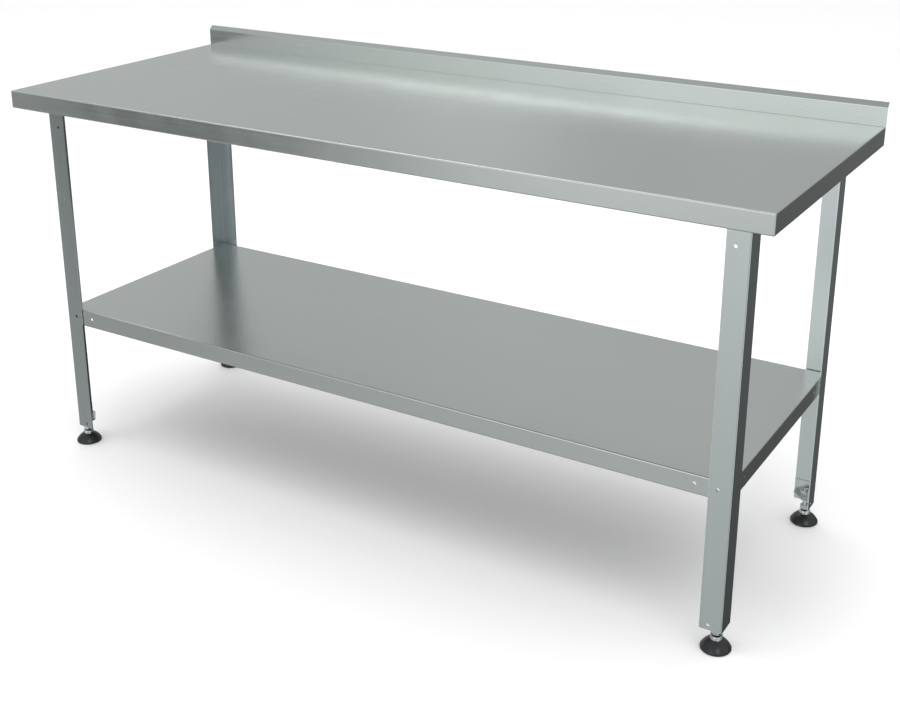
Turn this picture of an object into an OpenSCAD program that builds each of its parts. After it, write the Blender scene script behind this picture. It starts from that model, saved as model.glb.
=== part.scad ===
// Stainless steel work table with a rear upstand, a lower shelf and four levelling feet.
// Units are millimetres. +X runs along the table to its right end, +Y to the back, +Z up.
// The origin is on the floor, under the middle of the worktop.

/* [Worktop] */
// Length of the worktop
top_l = 1800; // [1000:50:2200]
// Depth of the worktop with its upstand
top_d = 700; // [600:25:800]
// Height of the work surface above the floor
top_h = 900; // [850:5:950]
// Height of the folded aprons of the worktop
apron_h = 40; // [36:1:60]
// Overall height of the upstand above the work surface
upstand_h = 50; // [35:1:80]
// How far the sloped edge of the upstand leans back
return_w = 11; // [8:1:15]
// Thickness of the worktop and shelf sheets
sheet_t = 1.5; // [1:0.1:2]

/* [Legs] */
// Width of each flange of the angle legs
leg_w = 46; // [44:1:55]
// Thickness of the legs
leg_t = 2; // [1.5:0.5:2]
// Distance from the edges of the worktop to the legs
leg_inset = 55; // [35:1:80]
// Height of the cut end of the legs above the floor
leg_foot_gap = 44; // [43:1:46]
// Diameter of the empty fixing holes in the legs and in the shelf aprons
hole_d = 7; // [6:0.5:8]
// Distance of the fixing holes from the corner of a leg
hole_off = 28.5; // [28:0.5:32]

/* [Shelf] */
// Height of the shelf surface above the floor
shelf_h = 360; // [250:5:500]
// Height of the folded aprons of the shelf
shelf_apron_h = 40; // [36:1:60]
// Gap between the outside of the legs and the aprons of the shelf
shelf_gap = 4; // [4:0.5:5]

/* [Feet] */
// Diameter of the base of each foot
base_d = 60; // [54:1:64]
// Height of the base of each foot
base_h = 22; // [22:1:24]
// Diameter of the threaded spindles
spindle_d = 12; // [12]
// Distance from the outside of a leg to the middle of its foot
foot_off = 15; // [15:0.5:16]

/* [Hidden] */
$fn = 64;
steel = [0.66, 0.69, 0.69];
leg_steel = [0.60, 0.65, 0.67];
zinc = [0.80, 0.81, 0.82];
black_plastic = [0.09, 0.09, 0.10];
nylon = [0.88, 0.87, 0.82];
rubber = [0.05, 0.05, 0.05];

bend_r = 2.5;
lip_w = 13;
eps = 1;
sheet_under = top_h - sheet_t;
upstand_y = top_d / 2 - return_w;
middle_y = (upstand_y - top_d / 2) / 2;

rail_h = 30;
rail_w = 40;
rail_flange = 15;
rail_t = 1.5;
rail_z = sheet_under - rail_h;
stiffener_w = 60;
stiffener_y = 115;

leg_r = 3;
leg_top_z = rail_z;
leg_x = top_l / 2 - leg_inset;
leg_front_y = -top_d / 2 + leg_inset;
leg_rear_y = upstand_y - leg_inset;
hole_z = [leg_foot_gap + 10, shelf_h - 17, top_h - 87];

shelf_x = leg_x - shelf_gap;
shelf_front_y = leg_front_y + shelf_gap;
shelf_rear_y = leg_rear_y - shelf_gap;
shelf_under = shelf_h - sheet_t;
notch = leg_w - shelf_gap + 0.5;
apron_hole_off = leg_w + 29;
apron_hole_z = shelf_h - 18;

plate_t = 3;
tab_t = 2;
tab_h = 26;
plate_w = leg_w - 4;
top_bolt_off = 22;
shelf_stud_off = 20;
seat_t = 2.5;

ball_r = 7;
ball_z = 13;
socket_r = 9;
socket_cut = 4.5;
play = 0.05;
neck_r = 3.8;
ring_r = 12;
ring_z = base_h - 1;
ring_top = ring_z + 9;
ring_bore_r = 7.5;
hex_z = ring_top + 3;
hex_h = 10;
nut_af = 19;
lock_nut_h = 6;
weld_nut_h = 10;
lock_nut_z = leg_foot_gap + 14;
foot_plate_z = lock_nut_z + lock_nut_h;
spindle_top = foot_plate_z + plate_t + weld_nut_h + 2;

// Each corner is its name, its side along X and its side along Y.
CORNERS = [
    ["front_left", -1, -1],
    ["front_right", 1, -1],
    ["rear_left", -1, 1],
    ["rear_right", 1, 1],
];

CORNER_PARTS = [
    "leg",
    "leg_top_bracket",
    "shelf_corner_bracket",
    "foot_bracket",
    "foot_ball",
    "foot_spindle",
    "foot_socket",
    "foot_base",
    "foot_ring",
    "foot_pad",
];

// ---- Sheet metal helpers ----

function unit(v) = v / norm(v);
function left_of(v) = [-v[1], v[0]];
function cross2(a, b) = a[0] * b[1] - a[1] * b[0];
function turned(v, a) = [v[0] * cos(a) - v[1] * sin(a), v[0] * sin(a) + v[1] * cos(a)];
function reversed(list) = [for (i = [len(list) - 1 : -1 : 0]) list[i]];

// The middle line of a bent strip, moved sideways by d at point i.
function moved(pts, i, d) =
    i == 0 ? pts[0] + d * left_of(unit(pts[1] - pts[0])) :
    i == len(pts) - 1 ? pts[i] + d * left_of(unit(pts[i] - pts[i - 1])) :
    let (
        a = left_of(unit(pts[i] - pts[i - 1])),
        b = left_of(unit(pts[i + 1] - pts[i])),
        m = unit(a + b)
    )
    pts[i] + m * d / (m * a);

// The points of the arc at bend i, on the side that lies d from the middle line.
function bend_arc(pts, i, d, r, steps = 6) =
    let (
        a = unit(pts[i] - pts[i - 1]),
        b = unit(pts[i + 1] - pts[i]),
        side = sign(cross2(a, b)),
        angle = acos(a * b),
        arc_r = r - side * d,
        start = moved(pts, i, d) - a * arc_r * tan(angle / 2),
        spoke = -side * arc_r * left_of(a)
    )
    [for (k = [0 : steps]) start - spoke + turned(spoke, side * angle * k / steps)];

function strip_side(pts, d, r) = concat(
    [moved(pts, 0, d)],
    [for (i = [1 : len(pts) - 2]) each bend_arc(pts, i, d, r)],
    [moved(pts, len(pts) - 1, d)]
);

// A sheet of thickness t bent along the middle line pts.
module bent_strip(pts, t, r) {
    polygon(concat(strip_side(pts, t / 2, r), reversed(strip_side(pts, -t / 2, r))));
}

// An angle section with its outer corner at the origin.
module angle_section(w, t, r) {
    translate([r, 0]) square([w - r, t]);
    translate([0, r]) square([t, w - r]);
    intersection() {
        square(r);
        translate([r, r]) difference() {
            circle(r);
            circle(r - t);
        }
    }
}

// A box with every edge and corner rounded, from the low to the high corner.
module round_block(low, high, r) {
    size = high - low;
    translate(low) {
        translate([r, r, 0]) cube([size[0] - 2 * r, size[1] - 2 * r, size[2]]);
        translate([r, 0, r]) cube([size[0] - 2 * r, size[1], size[2] - 2 * r]);
        translate([0, r, r]) cube([size[0], size[1] - 2 * r, size[2] - 2 * r]);
        for (x = [r, size[0] - r], y = [r, size[1] - r])
            translate([x, y, r]) cylinder(r = r, h = size[2] - 2 * r);
        for (x = [r, size[0] - r], z = [r, size[2] - r])
            translate([x, r, z]) rotate([-90, 0, 0]) cylinder(r = r, h = size[1] - 2 * r);
        for (y = [r, size[1] - r], z = [r, size[2] - r])
            translate([r, y, z]) rotate([0, 90, 0]) cylinder(r = r, h = size[0] - 2 * r);
        for (x = [r, size[0] - r], y = [r, size[1] - r], z = [r, size[2] - r])
            translate([x, y, z]) sphere(r = r);
    }
}

// A folded tray seen from below: top sheet, aprons all round and a lip along their lower edges.
module folded_tray(low, high) {
    wall = [sheet_t, sheet_t, sheet_t];
    lip = [lip_w, lip_w, 0];
    difference() {
        round_block(low, high, bend_r);
        round_block(low + wall, high - wall, bend_r - sheet_t);
        translate(low + lip - [0, 0, eps]) cube([
            high[0] - low[0] - 2 * lip_w,
            high[1] - low[1] - 2 * lip_w,
            sheet_t + 2 * eps,
        ]);
    }
}

// A hat channel along X, standing on its web, with its flanges at height h.
module hat_channel(length, w) {
    m = rail_t / 2;
    top = rail_h - m;
    rotate([90, 0, 90]) linear_extrude(length, center = true) bent_strip(
        [
            [-w / 2 - rail_flange, top],
            [-w / 2 + m, top],
            [-w / 2 + m, m],
            [w / 2 - m, m],
            [w / 2 - m, top],
            [w / 2 + rail_flange, top],
        ],
        rail_t,
        rail_t
    );
}

// ---- Placing helpers ----

// Puts its children in a leg's own frame: the outer corner of the leg, with x and y inwards.
module in_leg(c) {
    translate([c[1] * leg_x, c[2] < 0 ? leg_front_y : leg_rear_y, 0])
        mirror([c[1] > 0 ? 1 : 0, 0, 0])
            mirror([0, c[2] > 0 ? 1 : 0, 0])
                children();
}

module in_foot(c) {
    in_leg(c) translate([foot_off, foot_off, 0]) children();
}

// The same hole through both flanges of a leg or of an angle bracket.
module flange_holes(z) {
    through = leg_t + tab_t + 2 * eps;
    translate([hole_off, -eps, z]) rotate([-90, 0, 0]) cylinder(d = hole_d, h = through);
    translate([-eps, hole_off, z]) rotate([0, 90, 0]) cylinder(d = hole_d, h = through);
}

// A triangular gusset that fills the inside corner of a leg.
module corner_plate(t) {
    inner = leg_t;
    far = leg_t + plate_w;
    bevel = 2;
    cut = 12;
    linear_extrude(t) polygon([
        [inner + bevel, inner],
        [far, inner],
        [far, inner + cut],
        [inner + cut, far],
        [inner, far],
        [inner, inner + bevel],
    ]);
}

// The two tabs that carry a gusset plate on the flanges of a leg.
module corner_tabs(h) {
    start = leg_t + tab_t + 1;
    length = leg_t + plate_w - start;
    translate([start, leg_t, 0]) cube([length, tab_t, h]);
    translate([leg_t, start, 0]) cube([tab_t, length, h]);
}

module hex_nut(af, h, bore_r) {
    difference() {
        rotate([0, 0, 15]) hex_bar(af, h);
        translate([0, 0, -eps]) cylinder(r = bore_r, h = h + 2 * eps);
    }
}

// A hexagonal bar with both ends turned to a cone.
module hex_bar(af, h) {
    corner_r = af / 2 / cos(30);
    intersection() {
        cylinder(r = corner_r, h = h, $fn = 6);
        rotate_extrude() polygon([
            [0, 0],
            [af / 2, 0],
            [corner_r, (corner_r - af / 2) / 2],
            [corner_r, h - (corner_r - af / 2) / 2],
            [af / 2, h],
            [0, h],
        ]);
    }
}

// ---- Worktop ----

module worktop_sheet() {
    m = sheet_t / 2;
    tip = [top_d / 2, top_h + upstand_h] - m * cos(45) * [1, 1];
    slope = tip[0] - upstand_y - m;
    color(steel) {
        difference() {
            folded_tray(
                [-top_l / 2, -top_d / 2, top_h - apron_h],
                [top_l / 2, upstand_y + lip_w + bend_r, top_h]
            );
            translate([-top_l, upstand_y, top_h - 2 * apron_h])
                cube([2 * top_l, top_d, 3 * apron_h]);
        }
        rotate([90, 0, 90]) linear_extrude(top_l, center = true) bent_strip(
            [
                [upstand_y - bend_r, top_h - m],
                [upstand_y + m, top_h - m],
                tip - [slope, slope],
                tip,
            ],
            sheet_t,
            bend_r - m
        );
    }
}

module worktop_rail(side) {
    front = -top_d / 2 + sheet_t + bend_r;
    back = upstand_y - bend_r;
    bolt_x = side * (leg_x - top_bolt_off);
    color(steel) difference() {
        translate([bolt_x, (front + back) / 2, rail_z])
            rotate([0, 0, 90]) hat_channel(back - front, rail_w);
        for (y = [leg_front_y + top_bolt_off, leg_rear_y - top_bolt_off])
            translate([bolt_x, y, rail_z - eps]) cylinder(d = 8.6, h = rail_t + 2 * eps);
    }
}

module worktop_stiffener(side) {
    rail_edge = leg_x - top_bolt_off - rail_w / 2 - rail_flange;
    color(steel) translate([0, middle_y + side * stiffener_y, rail_z])
        hat_channel(2 * rail_edge - 2, stiffener_w);
}

module worktop_bolts() {
    head_h = 5.3;
    shank_h = plate_t + rail_t + 8;
    color(zinc) for (c = CORNERS)
        in_leg(c) translate([top_bolt_off, top_bolt_off, leg_top_z - plate_t]) {
            translate([0, 0, -head_h]) hex_bar(13, head_h);
            cylinder(d = 7.9, h = shank_h);
        }
}

module worktop_weld_nuts() {
    color(zinc) for (c = CORNERS)
        in_leg(c) translate([top_bolt_off, top_bolt_off, rail_z + rail_t])
            hex_nut(13, 6.5, 4);
}

// ---- Legs ----

module leg(c) {
    color(leg_steel) in_leg(c) difference() {
        translate([0, 0, leg_foot_gap])
            linear_extrude(leg_top_z - leg_foot_gap) angle_section(leg_w, leg_t, leg_r);
        for (z = hole_z) flange_holes(z);
    }
}

module leg_top_bracket(c) {
    color(leg_steel) in_leg(c) {
        difference() {
            translate([0, 0, leg_top_z - plate_t]) corner_plate(plate_t);
            translate([top_bolt_off, top_bolt_off, leg_top_z - plate_t - eps])
                cylinder(d = 8.6, h = plate_t + 2 * eps);
        }
        translate([0, 0, leg_top_z - plate_t - tab_h]) corner_tabs(tab_h);
    }
}

// ---- Shelf ----

module shelf_sheet() {
    low = [-shelf_x, shelf_front_y, shelf_h - shelf_apron_h];
    high = [shelf_x, shelf_rear_y, shelf_h];
    hole_x = leg_x - apron_hole_off;
    hole_y = [leg_front_y + apron_hole_off, leg_rear_y - apron_hole_off];
    through = 2 * (sheet_t + eps);
    color(steel) difference() {
        folded_tray(low, high);
        for (x = [low[0], high[0]], y = [low[1], high[1]])
            translate([x - notch, y - notch, low[2] - eps])
                cube([2 * notch, 2 * notch, shelf_under - low[2] + eps]);
        for (x = [-hole_x, hole_x], y = [low[1], high[1]])
            translate([x, y, apron_hole_z]) rotate([90, 0, 0])
                cylinder(d = hole_d, h = through, center = true);
        for (x = [low[0], high[0]], y = hole_y)
            translate([x, y, apron_hole_z]) rotate([0, 90, 0])
                cylinder(d = hole_d, h = through, center = true);
    }
}

module shelf_stiffener() {
    color(steel) translate([0, (shelf_front_y + shelf_rear_y) / 2, shelf_under - rail_h])
        hat_channel(2 * (shelf_x - sheet_t - 2), stiffener_w);
}

module shelf_corner_bracket(c) {
    seat_z = shelf_under - seat_t;
    angle_h = 32;
    color(leg_steel) in_leg(c) difference() {
        union() {
            translate([leg_t, leg_t, seat_z - angle_h])
                linear_extrude(angle_h) angle_section(plate_w, tab_t, leg_r);
            translate([0, 0, seat_z]) corner_plate(seat_t);
        }
        flange_holes(hole_z[1]);
        translate([shelf_stud_off, shelf_stud_off, seat_z - eps])
            cylinder(d = 6.6, h = seat_t + 2 * eps);
    }
}

module shelf_weld_studs() {
    stud_h = 11.5;
    color(zinc) for (c = CORNERS)
        in_leg(c) translate([shelf_stud_off, shelf_stud_off, shelf_under - stud_h])
            cylinder(d = 5.9, h = stud_h);
}

module shelf_nuts() {
    nut_h = 5;
    flange_h = 1.2;
    nut_top = shelf_under - seat_t;
    color(zinc) for (c = CORNERS)
        in_leg(c) translate([shelf_stud_off, shelf_stud_off, nut_top - nut_h - flange_h])
            difference() {
                union() {
                    hex_bar(10, nut_h + flange_h);
                    translate([0, 0, nut_h]) cylinder(r = 6.8, h = flange_h);
                }
                translate([0, 0, -eps]) cylinder(r = 3, h = nut_h + flange_h + 2 * eps);
            }
}

// ---- Feet ----

module foot_bracket(c) {
    color(leg_steel) in_leg(c) {
        difference() {
            translate([0, 0, foot_plate_z]) corner_plate(plate_t);
            translate([foot_off, foot_off, foot_plate_z - eps])
                cylinder(d = spindle_d + 0.6, h = plate_t + 2 * eps);
        }
        translate([0, 0, foot_plate_z + plate_t]) corner_tabs(tab_h);
    }
}

module foot_weld_nuts() {
    color(zinc) for (c = CORNERS)
        in_foot(c) translate([0, 0, foot_plate_z + plate_t])
            hex_nut(nut_af, weld_nut_h, spindle_d / 2);
}

module foot_lock_nuts() {
    color(zinc) for (c = CORNERS)
        in_foot(c) translate([0, 0, lock_nut_z])
            hex_nut(nut_af, lock_nut_h, spindle_d / 2);
}

// The ball end, with the hole that the neck of the spindle turns in.
module foot_ball(c) {
    color(zinc) in_foot(c) difference() {
        translate([0, 0, ball_z]) sphere(r = ball_r);
        translate([0, 0, ball_z + 2]) cylinder(r = neck_r + play, h = ball_r);
    }
}

module foot_spindle(c) {
    thread_r = spindle_d / 2 - play;
    neck_z = ball_z + 2.3;
    chamfer = 1.2;
    color(zinc) in_foot(c) {
        translate([0, 0, neck_z]) cylinder(r = neck_r, h = hex_z - neck_z);
        translate([0, 0, hex_z]) rotate([0, 0, 15]) hex_bar(nut_af, hex_h);
        translate([0, 0, hex_z + hex_h])
            cylinder(r = thread_r, h = spindle_top - chamfer - hex_z - hex_h);
        translate([0, 0, spindle_top - chamfer])
            cylinder(r1 = thread_r, r2 = thread_r - chamfer, h = chamfer);
    }
}

// The nylon cup round the ball.
module foot_socket(c) {
    color(nylon) in_foot(c) translate([0, 0, ball_z]) difference() {
        sphere(r = socket_r);
        sphere(r = ball_r + play);
        translate([0, 0, socket_cut]) cylinder(r = 2 * socket_r, h = socket_r);
        translate([0, 0, -socket_cut - 1.5 - socket_r]) cylinder(r = 2 * socket_r, h = socket_r);
    }
}

// The side of the base, a cone that bulges slightly between its rim and its top.
function base_side(low, high, bulge, steps = 8) =
    let (out = unit([high[1] - low[1], low[0] - high[0]]))
    [for (k = [0 : steps])
        let (s = k / steps)
        low + (high - low) * s + out * bulge * 4 * s * (1 - s)];

module foot_base(c) {
    rim_r = base_d / 2;
    rim_z = 4;
    floor_z = 0.5;
    recess_z = 2;
    edge = 0.8;
    top_r = ring_r + 1.2;
    color(black_plastic) in_foot(c) difference() {
        rotate_extrude($fn = 96) polygon(concat(
            [[0, floor_z], [rim_r - edge, floor_z], [rim_r, floor_z + edge]],
            base_side([rim_r, rim_z], [top_r, base_h], 1.8),
            [[0, base_h]]
        ));
        translate([0, 0, -eps]) cylinder(r = rim_r - 3, h = recess_z + eps);
        translate([0, 0, ball_z]) sphere(r = socket_r + play);
        translate([0, 0, ball_z]) cylinder(r = ring_bore_r, h = base_h);
        translate([0, 0, ring_z]) cylinder(r = ring_r, h = base_h);
    }
}

// The plated ring that closes the socket.
module foot_ring(c) {
    edge = 1;
    color(zinc) in_foot(c) rotate_extrude() polygon([
        [ring_bore_r, ring_z],
        [ring_r, ring_z],
        [ring_r, ring_top - edge],
        [ring_r - edge, ring_top],
        [ring_bore_r, ring_top],
    ]);
}

module foot_pad(c) {
    recess_z = 2;
    color(rubber) in_foot(c) cylinder(r = base_d / 2 - 3, h = recess_z);
}

module corner_part(part, c) {
    if (part == "leg") leg(c);
    if (part == "leg_top_bracket") leg_top_bracket(c);
    if (part == "shelf_corner_bracket") shelf_corner_bracket(c);
    if (part == "foot_bracket") foot_bracket(c);
    if (part == "foot_ball") foot_ball(c);
    if (part == "foot_spindle") foot_spindle(c);
    if (part == "foot_socket") foot_socket(c);
    if (part == "foot_base") foot_base(c);
    if (part == "foot_ring") foot_ring(c);
    if (part == "foot_pad") foot_pad(c);
}

// ---- The table ----

worktop_sheet();
worktop_rail(-1);  // worktop_rail_left
worktop_rail(1);  // worktop_rail_right
worktop_stiffener(-1);  // worktop_stiffener_front
worktop_stiffener(1);  // worktop_stiffener_rear
worktop_bolts();
worktop_weld_nuts();
shelf_sheet();
shelf_stiffener();
shelf_weld_studs();
shelf_nuts();
foot_weld_nuts();
foot_lock_nuts();
for (part = CORNER_PARTS, c = CORNERS)
    corner_part(part, c);
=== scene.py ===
"""A stainless steel work table with an upstand, a lower shelf and four levelling feet."""
from math import cos, pi, radians, sin, tan

import bmesh
import bpy
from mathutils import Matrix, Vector


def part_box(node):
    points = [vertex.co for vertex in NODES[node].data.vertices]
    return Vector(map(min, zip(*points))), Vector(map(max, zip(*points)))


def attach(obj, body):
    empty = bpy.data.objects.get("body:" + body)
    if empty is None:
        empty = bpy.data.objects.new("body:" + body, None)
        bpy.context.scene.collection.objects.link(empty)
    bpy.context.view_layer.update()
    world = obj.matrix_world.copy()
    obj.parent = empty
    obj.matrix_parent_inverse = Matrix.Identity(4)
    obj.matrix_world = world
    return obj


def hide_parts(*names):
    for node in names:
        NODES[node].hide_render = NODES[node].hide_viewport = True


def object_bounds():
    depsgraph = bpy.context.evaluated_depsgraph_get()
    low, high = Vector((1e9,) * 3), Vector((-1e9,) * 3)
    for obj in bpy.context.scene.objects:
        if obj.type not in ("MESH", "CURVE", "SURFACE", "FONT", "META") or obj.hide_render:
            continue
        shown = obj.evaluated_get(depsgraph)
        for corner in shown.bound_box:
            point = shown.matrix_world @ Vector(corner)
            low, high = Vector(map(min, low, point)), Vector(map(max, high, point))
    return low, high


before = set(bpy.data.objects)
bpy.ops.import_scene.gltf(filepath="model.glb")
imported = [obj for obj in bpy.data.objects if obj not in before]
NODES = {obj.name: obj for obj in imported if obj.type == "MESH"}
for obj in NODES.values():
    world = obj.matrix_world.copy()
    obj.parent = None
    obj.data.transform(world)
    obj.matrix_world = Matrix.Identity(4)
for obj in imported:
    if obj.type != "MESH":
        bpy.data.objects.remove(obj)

CAD_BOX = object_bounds()
LOW, HIGH = Vector(CAD_BOX[0]), Vector(CAD_BOX[1])
MIDDLE = (LOW + HIGH) / 2
CORNERS = ("front_left", "front_right", "rear_left", "rear_right")

# The camera stands high at the front right corner. Angles in degrees, lengths in metres.
CAMERA_AZIMUTH = 32.5
CAMERA_ELEVATION = 20.8
CAMERA_DISTANCE = 3.04
LOOK_AZIMUTH = 31.39
LOOK_DOWN = 19.02
CAMERA_LENS = 53.5
CAMERA_SHIFT_Y = -0.12
FLOOR_HALF = 30

# Fasteners, in metres.
THREAD_PITCH = 0.00175
THREAD_DEPTH = 0.0009
THREAD_SIDES = 40
SCREW_RADIUS = 0.00595
SCREW_NECK = 0.0038
SCREW_FLATS = 0.019
SCREW_HEX_HEIGHT = 0.010
SCREW_HEX_TO_TOP = 0.046
CHAMFER_SLOPE = tan(radians(28))
ROUND_SIDES = 96
LEG_WALL = 0.002
BEAD_SIZE = 0.0017


# ---------------------------------------------------------------- camera, light and floor

def around(azimuth, elevation):
    """The unit direction from the middle towards that azimuth and elevation."""
    a, e = radians(azimuth), radians(elevation)
    return Vector((sin(a) * cos(e), -cos(a) * cos(e), sin(e)))


def add_camera():
    camera = bpy.data.objects.new("camera", bpy.data.cameras.new("camera"))
    bpy.context.scene.collection.objects.link(camera)
    camera.location = MIDDLE + around(CAMERA_AZIMUTH, CAMERA_ELEVATION) * CAMERA_DISTANCE
    look = -around(LOOK_AZIMUTH, LOOK_DOWN)
    camera.rotation_euler = look.to_track_quat("-Z", "Y").to_euler()
    camera.data.sensor_width = 36
    camera.data.lens = CAMERA_LENS
    camera.data.shift_y = CAMERA_SHIFT_Y
    camera.data.clip_end = 200
    bpy.context.scene.camera = camera


def add_softbox(name, azimuth, elevation, distance, size, watts):
    """A square area light that faces the middle of the table. Polished surfaces see the studio."""
    data = bpy.data.lights.new(name, "AREA")
    data.size = size
    data.energy = watts
    light = bpy.data.objects.new(name, data)
    light.location = MIDDLE + around(azimuth, elevation) * distance
    light.rotation_euler = (-around(azimuth, elevation)).to_track_quat("-Z", "Y").to_euler()
    light.visible_glossy = False
    bpy.context.scene.collection.objects.link(light)


def dot_lobe(tree, direction, azimuth, elevation, inner, outer, level):
    """A soft patch of that brightness in the studio, full inside inner degrees, gone at outer."""
    aim = tree.nodes.new("ShaderNodeVectorMath")
    aim.operation = "DOT_PRODUCT"
    aim.inputs[1].default_value = around(azimuth, elevation)
    tree.links.new(direction, aim.inputs[0])
    fall = tree.nodes.new("ShaderNodeMapRange")
    fall.interpolation_type = "SMOOTHSTEP"
    fall.inputs["From Min"].default_value = cos(radians(outer))
    fall.inputs["From Max"].default_value = cos(radians(inner))
    fall.inputs["To Max"].default_value = level
    tree.links.new(aim.outputs["Value"], fall.inputs["Value"])
    return fall.outputs["Result"]


# What polished surfaces see of the studio: a level all round, and soft patches, each given as
# azimuth, elevation, inner angle, outer angle and brightness.
STUDIO_LEVEL = 0.40
STUDIO_DARKEST = 0.02
STUDIO_TINT = (0.97, 1.0, 0.985, 1)
SURROUND_LEVEL = 1.06
STUDIO_PATCHES = (
    (-150, 14, 30, 80, 0.18),
    (-150, 13, 1, 5, 0.10),
    (-156, 15, 1, 5, -0.07),
    (-143, 20, 2, 7, -0.04),
    (-120, 55, 4, 18, 3.2),
    (-12, 14, 8, 34, 0.95),
    (-12, -12, 5, 36, 0.30),
    (-42, -11, 2, 12, -0.52),
    (-29, -15, 1, 8, 0.28),
    (-57, -12, 4, 16, 0.20),
    (-55, 52, 5, 25, 0.22),
    (40, 38, 5, 14, 3.0),
    (60, -22, 3, 14, 1.2),
    (160, -42, 25, 78, -0.37),
    (90, 25, 20, 60, 0.25),
)


def add_studio():
    """An even white surround, which polished surfaces see as the graded studio."""
    world = bpy.data.worlds.new("studio")
    bpy.context.scene.world = world
    world.use_nodes = True
    tree = world.node_tree
    tree.nodes.clear()
    place = tree.nodes.new("ShaderNodeTexCoord")
    rays = tree.nodes.new("ShaderNodeLightPath")
    total = None
    for patch in STUDIO_PATCHES:
        lobe = dot_lobe(tree, place.outputs["Generated"], *patch)
        add = tree.nodes.new("ShaderNodeMath")
        add.operation = "ADD"
        tree.links.new(lobe, add.inputs[0])
        if total is None:
            add.inputs[1].default_value = STUDIO_LEVEL
        else:
            tree.links.new(total, add.inputs[1])
        total = add.outputs[0]
    never_black = tree.nodes.new("ShaderNodeMath")
    never_black.operation = "MAXIMUM"
    never_black.inputs[1].default_value = STUDIO_DARKEST
    tree.links.new(total, never_black.inputs[0])
    studio = tree.nodes.new("ShaderNodeBackground")
    studio.inputs["Color"].default_value = STUDIO_TINT
    tree.links.new(never_black.outputs[0], studio.inputs["Strength"])
    even = tree.nodes.new("ShaderNodeBackground")
    even.inputs["Color"].default_value = (1, 1, 1, 1)
    even.inputs["Strength"].default_value = SURROUND_LEVEL
    choose = tree.nodes.new("ShaderNodeMixShader")
    tree.links.new(rays.outputs["Is Glossy Ray"], choose.inputs["Fac"])
    tree.links.new(even.outputs[0], choose.inputs[1])
    tree.links.new(studio.outputs[0], choose.inputs[2])
    out = tree.nodes.new("ShaderNodeOutputWorld")
    tree.links.new(choose.outputs[0], out.inputs["Surface"])
    bpy.context.scene.view_settings.view_transform = "Standard"


def add_floor():
    """A plain pale floor. It isn't mirrored in the steel, which sees the studio instead."""
    grid = bmesh.new()
    bmesh.ops.create_grid(grid, x_segments=2, y_segments=2, size=FLOOR_HALF)
    mesh = bpy.data.meshes.new("floor")
    grid.to_mesh(mesh)
    grid.free()
    floor = bpy.data.objects.new("floor", mesh)
    floor.location.z = LOW.z
    bpy.context.scene.collection.objects.link(floor)
    floor.visible_glossy = False
    mat = Material("floor", (0.93, 0.93, 0.93), roughness=0.7)
    mat.mottle(scale=3, amount=0.002)
    mesh.materials.append(mat.material)


# ---------------------------------------------------------------- materials

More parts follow.
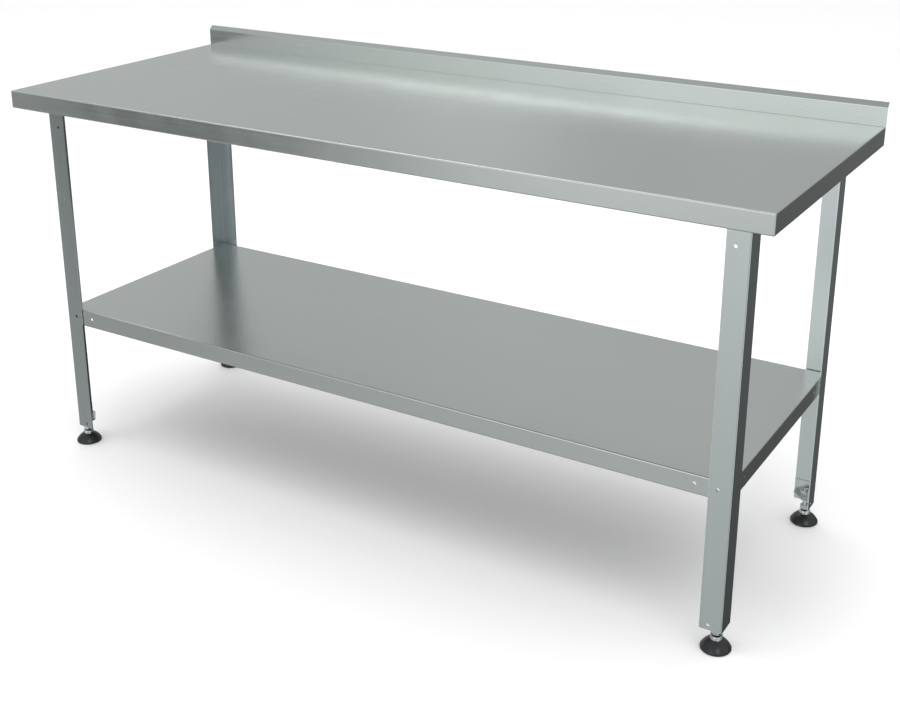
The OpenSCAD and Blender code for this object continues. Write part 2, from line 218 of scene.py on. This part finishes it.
class Material:
    """A procedural material whose colour, roughness and bump are built up in layers."""

    def __init__(self, name, colour, roughness, metallic=0.0):
        self.material = bpy.data.materials.new(name)
        self.material.use_nodes = True
        self.tree = self.material.node_tree
        self.shader = self.tree.nodes["Principled BSDF"]
        self.shader.inputs["Base Color"].default_value = (*colour, 1)
        self.shader.inputs["Roughness"].default_value = roughness
        self.shader.inputs["Metallic"].default_value = metallic
        self.place = self.node("ShaderNodeTexCoord").outputs["Object"]
        self.colour = colour

    def node(self, kind, **settings):
        made = self.tree.nodes.new(kind)
        for name, value in settings.items():
            setattr(made, name, value)
        return made

    def stretched(self, scale):
        """The object's own coordinates, scaled by three numbers."""
        mapping = self.node("ShaderNodeMapping")
        mapping.inputs["Scale"].default_value = scale
        self.tree.links.new(self.place, mapping.inputs["Vector"])
        return mapping.outputs["Vector"]

    def noise(self, scale, detail=3.0, distortion=0.0):
        noise = self.node("ShaderNodeTexNoise")
        noise.inputs["Scale"].default_value = 1
        noise.inputs["Detail"].default_value = detail
        noise.inputs["Distortion"].default_value = distortion
        self.tree.links.new(self.stretched(scale), noise.inputs["Vector"])
        return noise.outputs["Fac"]

    def ranged(self, value, low, high, to_low, to_high):
        ranged = self.node("ShaderNodeMapRange")
        for socket, number in zip(("From Min", "From Max", "To Min", "To Max"),
                                  (low, high, to_low, to_high)):
            ranged.inputs[socket].default_value = number
        self.tree.links.new(value, ranged.inputs["Value"])
        return ranged.outputs["Result"]

    def layer(self, socket, value, mode):
        """Joins value to what already drives that input of the shader."""
        entry = self.shader.inputs[socket]
        maths = self.node("ShaderNodeMath", operation=mode)
        if entry.is_linked:
            self.tree.links.new(entry.links[0].from_socket, maths.inputs[0])
        else:
            maths.inputs[0].default_value = entry.default_value
        self.tree.links.new(value, maths.inputs[1])
        self.tree.links.new(maths.outputs[0], entry)

    def tint(self, factor, colour):
        """Mixes the base colour towards colour where factor is 1."""
        entry = self.shader.inputs["Base Color"]
        mix = self.node("ShaderNodeMix", data_type="RGBA")
        before, after = [s for s in mix.inputs if s.type == "RGBA"]
        if entry.is_linked:
            self.tree.links.new(entry.links[0].from_socket, before)
        else:
            before.default_value = entry.default_value
        after.default_value = (*colour, 1)
        self.tree.links.new(factor, mix.inputs["Factor"])
        result = [s for s in mix.outputs if s.type == "RGBA"][0]
        self.tree.links.new(result, entry)

    def bump(self, height, distance, strength=1.0):
        """Adds relief of that depth, in metres."""
        bump = self.node("ShaderNodeBump")
        bump.inputs["Strength"].default_value = strength
        bump.inputs["Distance"].default_value = distance
        self.tree.links.new(height, bump.inputs["Height"])
        entry = self.shader.inputs["Normal"]
        if entry.is_linked:
            self.tree.links.new(entry.links[0].from_socket, bump.inputs["Normal"])
        self.tree.links.new(bump.outputs["Normal"], entry)

    def mottle(self, scale, amount):
        """Slow changes of tone, as on any real surface."""
        noise = self.noise((scale, scale, scale), detail=4)
        darker = tuple(c * (1 - 4 * amount) for c in self.colour)
        self.tint(self.ranged(noise, 0.35, 0.75, 0, 1), darker)

    def wiped(self, scale, amount):
        """Faint hand marks and wiping smears, which change only the gloss."""
        smear = self.noise((scale, scale * 0.6, scale), detail=5, distortion=1.5)
        self.layer("Roughness", self.ranged(smear, 0.35, 0.7, -amount, amount), "ADD")

    def rubbed_and_highlit_edges(self, radius, colour, gloss):
        """Edges and bends get a painted highlight: their base colour is mixed towards a lighter
        colour, broken up by grit. Their roughness is also lowered, as where rubbing has polished
        them.
        """
        rounded = self.node("ShaderNodeBevel", samples=6)
        rounded.inputs["Radius"].default_value = radius
        geometry = self.node("ShaderNodeNewGeometry")
        same = self.node("ShaderNodeVectorMath", operation="DOT_PRODUCT")
        self.tree.links.new(rounded.outputs["Normal"], same.inputs[0])
        self.tree.links.new(geometry.outputs["Normal"], same.inputs[1])
        edge = self.ranged(same.outputs["Value"], 0.995, 0.93, 0, 1)
        grit = self.ranged(self.noise((90, 90, 90), detail=3), 0.3, 0.6, 0.35, 1)
        rub_and_highlight_mask = self.node("ShaderNodeMath", operation="MULTIPLY")
        self.tree.links.new(edge, rub_and_highlight_mask.inputs[0])
        self.tree.links.new(grit, rub_and_highlight_mask.inputs[1])
        # Painted highlight: the edge mask mixes the base colour towards the lighter colour given.
        self.tint(rub_and_highlight_mask.outputs[0], colour)
        self.layer("Roughness", self.ranged(rub_and_highlight_mask.outputs[0], 0, 1, 0, -gloss), "ADD")


def brushed(name, colour, roughness, grain, anisotropy, grain_depth):
    """Brushed stainless steel. grain is the axis the brush ran along: 0, 1 or 2 for X, Y or Z."""
    mat = Material(name, colour, roughness, metallic=1.0)
    mat.shader.inputs["Anisotropic"].default_value = anisotropy
    tangent = mat.node("ShaderNodeVectorTransform", vector_type="VECTOR",
                       convert_from="OBJECT", convert_to="WORLD")
    run = [0.12, 0.12, 0.12]
    run[grain] = 1
    tangent.inputs["Vector"].default_value = run
    mat.tree.links.new(tangent.outputs["Vector"], mat.shader.inputs["Tangent"])

    def along(coarse, fine):
        scale = [fine, fine, fine]
        scale[grain] = coarse
        return scale

    bands = mat.noise(along(0.5, 5), detail=3)
    streaks = mat.noise(along(2.5, 220), detail=4)
    scratches = mat.noise(along(9, 1400), detail=2)
    mat.tint(mat.ranged(bands, 0.35, 0.7, 0, 0.25), tuple(c * 0.92 for c in colour))
    mat.tint(mat.ranged(streaks, 0.35, 0.7, 0, 0.25), tuple(min(1, c * 1.05) for c in colour))
    mat.layer("Roughness", mat.ranged(streaks, 0.3, 0.7, -0.012, 0.014), "ADD")
    mat.layer("Roughness", mat.ranged(scratches, 0.3, 0.7, -0.015, 0.015), "ADD")
    mat.wiped(scale=5, amount=0.02)
    mat.bump(scratches, grain_depth)
    # Painted highlight along edges and bends: a lighter steel colour is mixed in there, with some
    # rubbing.
    mat.rubbed_and_highlit_edges(0.0016, (0.86, 0.88, 0.88), 0.08)
    return mat.material


def galvanised(name):
    """Zinc coated frame steel, with the pale flakes that the coating sets in."""
    mat = Material(name, (0.50, 0.52, 0.53), 0.42, metallic=1.0)
    flakes = mat.node("ShaderNodeTexVoronoi", feature="F1")
    flakes.inputs["Scale"].default_value = 160
    mat.tree.links.new(mat.place, flakes.inputs["Vector"])
    shade = mat.node("ShaderNodeSeparateColor")
    mat.tree.links.new(flakes.outputs["Color"], shade.inputs["Color"])
    mat.tint(mat.ranged(shade.outputs["Red"], 0, 1, 0, 0.5), (0.66, 0.68, 0.69))
    mat.layer("Roughness", mat.ranged(shade.outputs["Green"], 0, 1, -0.08, 0.08), "ADD")
    mat.mottle(scale=14, amount=0.03)
    mat.bump(mat.noise((260, 260, 260), detail=2), 0.00004)
    # Painted highlight along edges: a lighter zinc colour is mixed in there, with some rubbing.
    mat.rubbed_and_highlit_edges(0.0010, (0.74, 0.75, 0.75), 0.08)
    return mat.material


def bright_zinc(name):
    """Bright zinc plating on turned and rolled fasteners."""
    mat = Material(name, (0.74, 0.76, 0.78), 0.24, metallic=1.0)
    mat.mottle(scale=90, amount=0.04)
    mat.wiped(scale=120, amount=0.06)
    mat.bump(mat.noise((900, 900, 2600), detail=2), 0.00003)
    # Painted highlight along edges: a lighter zinc colour is mixed in there, with some rubbing.
    mat.rubbed_and_highlit_edges(0.0006, (0.90, 0.91, 0.92), 0.06)
    return mat.material


def moulded(name, colour, roughness, grain_scale, grain_depth):
    """Moulded plastic or rubber, with a fine grain and a little dust in it."""
    mat = Material(name, colour, roughness)
    mat.shader.inputs["Specular IOR Level"].default_value = 0.5
    grain = mat.noise((grain_scale,) * 3, detail=3)
    mat.bump(grain, grain_depth)
    mat.layer("Roughness", mat.ranged(grain, 0.3, 0.7, -0.05, 0.07), "ADD")
    dust = mat.noise((70, 70, 25), detail=5)
    # A lighter tone, used both for the dust and for the painted highlight along the edges.
    dust_and_highlight_tone = tuple(min(1, c * 1.25 + 0.012) for c in colour)
    mat.tint(mat.ranged(dust, 0.5, 0.8, 0, 0.6), dust_and_highlight_tone)
    # Painted highlight along edges in that lighter tone, with some rubbing.
    mat.rubbed_and_highlit_edges(0.0008, dust_and_highlight_tone, 0.05)
    return mat.material


def make_finishes():
    """One finish for each of the record's material slots."""
    return {
        "sheet_steel": brushed("sheet_steel", (0.605, 0.633, 0.620), 0.24, 0, 0.55, 0.000003),
        "leg_steel": brushed("leg_steel", (0.58, 0.62, 0.63), 0.24, 2, 0.40, 0.000003),
        "frame_steel": galvanised("frame_steel"),
        "zinc": bright_zinc("zinc"),
        "black_plastic": moulded("black_plastic", (0.016, 0.016, 0.018), 0.27, 1400, 0.00004),
        "nylon": moulded("nylon", (0.78, 0.76, 0.70), 0.38, 1100, 0.00003),
        "rubber": moulded("rubber", (0.022, 0.022, 0.022), 0.72, 800, 0.00008),
    }


def paint_cad_nodes():
    """Every CAD node that is shown takes the finish of its own material slot."""
    for node in NODES.values():
        slot = "leg_steel" if "bracket" in node.name else None
        for entry in node.material_slots:
            entry.material = FINISHES[slot or entry.material.name.split(".")[0]]


# ---------------------------------------------------------------- mesh helpers

def add_piece(name, mesh, body, slot, *replaced):
    """Puts a finished mesh into the scene, on its body and with its slot's finish."""
    piece = bpy.data.objects.new(name, mesh)
    bpy.context.scene.collection.objects.link(piece)
    mesh.materials.clear()
    mesh.materials.append(FINISHES[slot])
    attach(piece, body)
    if replaced:
        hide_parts(*replaced)
    return piece


def to_mesh(name, form, sharp=35):
    """The mesh of a bmesh, smooth except along edges sharper than that many degrees."""
    bmesh.ops.recalc_face_normals(form, faces=form.faces)
    for face in form.faces:
        face.smooth = True
    for edge in form.edges:
        if len(edge.link_faces) == 2 and edge.calc_face_angle(0) > radians(sharp):
            edge.smooth = False
    mesh = bpy.data.meshes.new(name)
    form.to_mesh(mesh)
    form.free()
    return mesh


def add_rings(form, rings, closed):
    """Skins a list of rings of points. closed joins the last ring to the first."""
    loops = [[form.verts.new(p) for p in ring] for ring in rings]
    pairs = list(zip(loops, loops[1:]))
    if closed:
        pairs.append((loops[-1], loops[0]))
    for one, two in pairs:
        count = len(one)
        for i in range(count):
            j = (i + 1) % count
            form.faces.new((one[i], one[j], two[j], two[i]))
    return loops


def circle(centre, radius, z, sides=ROUND_SIDES):
    return [Vector((centre.x + radius * cos(2 * pi * i / sides),
                    centre.y + radius * sin(2 * pi * i / sides), z)) for i in range(sides)]


def lathe(name, centre, outline, sides=ROUND_SIDES):
    """A turned piece: a closed outline of (radius, height) points, spun about a vertical axis."""
    form = bmesh.new()
    add_rings(form, [circle(centre, r, z, sides) for r, z in outline], closed=True)
    return to_mesh(name, form)


def hexagon_radius(angle, flats):
    """How far a hexagon of that width across flats reaches at an angle. A corner is at 15°."""
    turn = (angle - radians(15)) % (pi / 3) - pi / 6
    return flats / 2 / cos(turn)


def hexagon_rings(centre, flats, low, high, sides=72):
    """The outside of a nut: six flats, with both ends turned to a chamfer."""
    waist = flats / 2 * 0.98
    heights = [low, low + 0.0004, low + 0.0008, low + 0.0014]
    heights += [high - 0.0014, high - 0.0008, high - 0.0004, high]
    rings = []
    for z in heights:
        turned = waist + min(z - low, high - z) / CHAMFER_SLOPE
        ring = []
        for i in range(sides):
            a = 2 * pi * i / sides
            r = min(hexagon_radius(a, flats), turned)
            ring.append(Vector((centre.x + r * cos(a), centre.y + r * sin(a), z)))
        rings.append(ring)
    return rings


def add_nut(form, centre, flats, bore, low, high):
    """A hexagon nut with a countersunk bore."""
    sides = 72
    lead = 0.0007
    inner = [circle(centre, bore + lead, high, sides), circle(centre, bore, high - lead, sides),
             circle(centre, bore, low + lead, sides), circle(centre, bore + lead, low, sides)]
    add_rings(form, hexagon_rings(centre, flats, low, high, sides) + inner, closed=True)


def thread_rings(centre, radius, low, high):
    """A rolled right-hand thread with rounded roots that fades out at both ends."""
    steps = 8
    step = THREAD_PITCH / steps
    count = int(round((high - low) / step))
    rings = []
    for k in range(count + 1):
        z = low + k * step
        fade = min(1, (z - low) / THREAD_PITCH, (high - z) / THREAD_PITCH)
        ring = []
        for i in range(THREAD_SIDES):
            a = 2 * pi * i / THREAD_SIDES
            turn = (z / THREAD_PITCH - a / (2 * pi)) % 1
            groove = (0.5 - 0.5 * cos(2 * pi * turn)) ** 1.4
            r = radius - THREAD_DEPTH * groove * fade
            ring.append(Vector((centre.x + r * cos(a), centre.y + r * sin(a), z)))
        rings.append(ring)
    return rings


def cap_ends(form, loops):
    """Closes the first and last ring of a skin."""
    form.faces.new(loops[0])
    form.faces.new(loops[-1])


def solids_of(node):
    """The (low, high) box of each separate solid in a CAD node, lowest X first, then Y."""
    form = bmesh.new()
    form.from_mesh(NODES[node].data)
    bmesh.ops.remove_doubles(form, verts=form.verts, dist=1e-6)
    left = set(form.verts)
    boxes = []
    while left:
        stack = [left.pop()]
        low, high = stack[0].co.copy(), stack[0].co.copy()
        while stack:
            vertex = stack.pop()
            low = Vector(map(min, low, vertex.co))
            high = Vector(map(max, high, vertex.co))
            for edge in vertex.link_edges:
                other = edge.other_vert(vertex)
                if other in left:
                    left.discard(other)
                    stack.append(other)
        boxes.append((low, high))
    form.free()
    return sorted(boxes, key=lambda b: (round(b[0].x, 3), round(b[0].y, 3)))


# ---------------------------------------------------------------- pieces

def add_foot_base(corner):
    """The black bell of a foot: a soft rim with a mould line, a bulging side and the cup's seat."""
    node = "foot_base_" + corner
    low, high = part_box(node)
    centre = (low + high) / 2
    rim = (high.x - low.x) / 2
    ring_low, ring_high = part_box("foot_ring_" + corner)
    ring = (ring_high.x - ring_low.x) / 2
    ball_low, ball_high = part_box("foot_socket_" + corner)
    socket = (ball_high.x - ball_low.x) / 2
    pad_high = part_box("foot_pad_" + corner)[1]
    recess = rim - 0.0029
    top = high.z
    mid_z = (ball_low.z + ball_high.z) / 2
    side = []
    steps = 18
    bulge = 0.0018
    neck = ring + 0.0012
    for i in range(steps + 1):
        t = i / steps
        r = rim + (neck - rim) * t
        z = low.z + 0.0042 + (top - 0.0006 - low.z - 0.0042) * t
        swell = bulge * sin(pi * t)
        side.append((r + swell * 0.55, z + swell * 0.83))
    outline = [(recess, low.z), (rim - 0.0008, low.z), (rim, low.z + 0.0008)]
    outline += [(rim, low.z + 0.0022), (rim - 0.00025, low.z + 0.0024), (rim, low.z + 0.0026)]
    outline += side
    outline += [(neck - 0.0004, top), (ring + 0.00015, top), (ring + 0.00015, top - 0.0009)]
    outline += [(socket * 0.83, top - 0.001)]
    for i in range(7):
        a = radians(55 - i * 15)
        outline.append(((socket + 0.0001) * cos(a), mid_z + (socket + 0.0001) * sin(a)))
    outline += [(0.006, pad_high.z + 0.0012), (0.006, pad_high.z + 0.0001)]
    outline += [(recess, pad_high.z + 0.0001)]
    body = "foot_" + corner + "_base"
    add_piece("bell_" + node, lathe("bell_" + node, centre, outline), body, "black_plastic", node)


def add_foot_ring(corner):
    """The bright collar that clamps the ball, chamfered, with two turned grooves."""
    node = "foot_ring_" + corner
    low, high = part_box(node)
    centre = (low + high) / 2
    outer = (high.x - low.x) / 2
    bore = 0.0075
    tall = high.z - low.z
    outline = [(bore + 0.0005, low.z), (outer - 0.0003, low.z), (outer, low.z + 0.0003)]
    for share in (0.34, 0.56):
        z = low.z + tall * share
        outline += [(outer, z - 0.0005), (outer - 0.0004, z - 0.0001)]
        outline += [(outer - 0.0004, z + 0.0001), (outer, z + 0.0005)]
    outline += [(outer, high.z - 0.0012), (outer - 0.0003, high.z - 0.0007)]
    outline += [(outer - 0.0012, high.z), (bore + 0.0009, high.z), (bore, high.z - 0.0009)]
    outline += [(bore, low.z + 0.0005)]
    mesh = lathe("collar_" + node, centre, outline)
    add_piece("collar_" + node, mesh, "foot_" + corner + "_base", "zinc", node)


def add_foot_spindle(corner):
    """The levelling screw: waisted neck, chamfered hexagon and rolled thread, in one piece."""
    node = "foot_spindle_" + corner
    low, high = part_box(node)
    centre = (low + high) / 2
    body = "foot_" + corner + "_spindle"
    radius, neck = SCREW_RADIUS, SCREW_NECK
    hex_low = high.z - SCREW_HEX_TO_TOP
    hex_high = hex_low + SCREW_HEX_HEIGHT
    sides = THREAD_SIDES
    form = bmesh.new()
    stem = [circle(centre, neck, low.z, sides), circle(centre, neck, hex_low - 0.0016, sides)]
    stem += [circle(centre, neck + 0.0005, hex_low - 0.0005, sides)]
    stem += [circle(centre, neck + 0.0016, hex_low + 0.0002, sides)]
    loops = add_rings(form, stem, closed=False)
    cap_ends(form, loops)
    loops = add_rings(form, hexagon_rings(centre, SCREW_FLATS, hex_low, hex_high), closed=False)
    cap_ends(form, loops)
    rod = [circle(centre, radius + 0.001, hex_high - 0.0002, sides)]
    rod += [circle(centre, radius, hex_high + 0.0008, sides)]
    rod += thread_rings(centre, radius, hex_high + 0.001, high.z - 0.0012)
    rod += [circle(centre, radius - 0.0012, high.z, sides)]
    loops = add_rings(form, rod, closed=False)
    cap_ends(form, loops)
    add_piece("screw_" + node, to_mesh("screw_" + node, form, 50), body, "zinc", node)


def add_nuts(node, bore):
    """Chamfered nuts in place of all the plain ones in a node."""
    form = bmesh.new()
    for low, high in solids_of(node):
        centre = (low + high) / 2
        width = min(high.x - low.x, high.y - low.y)
        flats = width / cos(radians(15))
        add_nut(form, centre, flats, bore, low.z, high.z)
    add_piece("chamfered_" + node, to_mesh("chamfered_" + node, form, 30), "table", "zinc", node)


def bead_rings(start, end, across, away, size):
    """A weld bead in the corner of two faces: a low mound whose surface is a row of ripples."""
    length = (end - start).length
    ripple = 0.0011
    steps = max(8, int(length / ripple * 5))
    arc = 8
    rings = []
    for k in range(steps + 1):
        t = k / steps
        ends = min(1, t * length / size, (1 - t) * length / size) ** 0.5
        swell = size * (0.86 + 0.14 * abs(sin(pi * t * length / ripple))) * max(ends, 0.05)
        centre = start.lerp(end, t)
        ring = [centre]
        for i in range(arc + 1):
            a = radians(90 * i / arc)
            ring.append(centre + across * swell * cos(a) + away * swell * sin(a))
        rings.append(ring)
    return rings


def add_welds(corner):
    """Beads down the free edges of the bracket tabs that are welded inside a leg."""
    side = Vector((1 if "right" in corner else -1, 1 if "rear" in corner else -1, 0))
    leg_low, leg_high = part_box("leg_" + corner)
    outer = Vector((leg_high.x if side.x > 0 else leg_low.x,
                    leg_high.y if side.y > 0 else leg_low.y, 0))
    wall = LEG_WALL + 0.0001
    form = bmesh.new()
    for part in ("leg_top_bracket_", "shelf_corner_bracket_", "foot_bracket_"):
        low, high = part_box(part + corner)
        inner = Vector((low.x if side.x > 0 else high.x, low.y if side.y > 0 else high.y, 0))
        margin = (high.z - low.z) * 0.12
        bottom, top = low.z + margin, high.z - margin
        for axis in (0, 1):
            other = 1 - axis
            foot = Vector((0, 0, bottom))
            foot[axis] = inner[axis]
            foot[other] = outer[other] - side[other] * wall
            head = foot.copy()
            head.z = top
            across, away = Vector((0, 0, 0)), Vector((0, 0, 0))
            across[axis] = -side[axis]
            away[other] = -side[other]
            loops = add_rings(form, bead_rings(foot, head, across, away, BEAD_SIZE), closed=False)
            cap_ends(form, loops)
    name = "weld_beads_" + corner
    add_piece(name, to_mesh(name, form, 60), "table", "frame_steel")


add_camera()
add_studio()
add_floor()
add_softbox("key", -25, 70, 4.2, 3.0, 60)
add_softbox("fill", 75, 55, 4.5, 3.0, 30)
add_softbox("back", 190, 62, 4.5, 3.0, 30)

FINISHES = make_finishes()
paint_cad_nodes()
for corner in CORNERS:
    add_foot_base(corner)
    add_foot_ring(corner)
    add_foot_spindle(corner)
    add_welds(corner)
add_nuts("foot_lock_nuts", SCREW_RADIUS + 0.00015)
add_nuts("foot_weld_nuts", SCREW_RADIUS + 0.00015)
